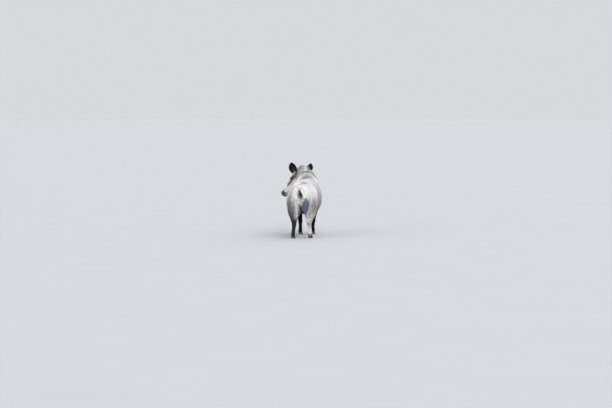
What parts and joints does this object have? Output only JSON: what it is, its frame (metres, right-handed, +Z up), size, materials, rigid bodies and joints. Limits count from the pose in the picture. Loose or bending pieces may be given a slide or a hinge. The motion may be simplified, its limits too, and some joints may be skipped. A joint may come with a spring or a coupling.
{
  "type": "wild boar",
  "caption": "Life-size wild boar in pale winter coat, standing with its head turned to its left and its tail hanging to the right",
  "frame": {"origin": "on the ground, at the centre of the bounding box's bottom", "axes": "+Y ahead along the trunk, the longest extent; -X to the boar's left; +Z up"},
  "size_m": [0.6288, 1.4362, 0.9686],
  "materials": {
    "coat": "long grey bristles over dense underwool",
    "dark_coat": "short near-black hair",
    "bare_skin": "bare moist skin",
    "eyes": "wet and dark",
    "horn": "worn dark horn"
  },
  "bodies": {
    "root": {"trunk": "coat", "neck": "coat", "head": "coat", "lower_jaw": "coat", "snout_disc": "bare_skin", "eye_left": "eyes", "eye_right": "eyes", "ear_left": "dark_coat", "ear_right": "dark_coat", "tail": "coat", "leg_front_left": "dark_coat", "leg_front_right": "dark_coat", "leg_hind_left": "dark_coat", "leg_hind_right": "dark_coat", "hoof_front_left_inner": "horn", "hoof_front_left_outer": "horn", "hoof_front_right_inner": "horn", "hoof_front_right_outer": "horn", "hoof_hind_left_inner": "horn", "hoof_hind_left_outer": "horn", "hoof_hind_right_inner": "horn", "hoof_hind_right_outer": "horn", "dewclaw_front_left_inner": "horn", "dewclaw_front_left_outer": "horn", "dewclaw_front_right_inner": "horn", "dewclaw_front_right_outer": "horn", "dewclaw_hind_left_inner": "horn", "dewclaw_hind_left_outer": "horn", "dewclaw_hind_right_inner": "horn", "dewclaw_hind_right_outer": "horn"}
  },
  "joints": []
}
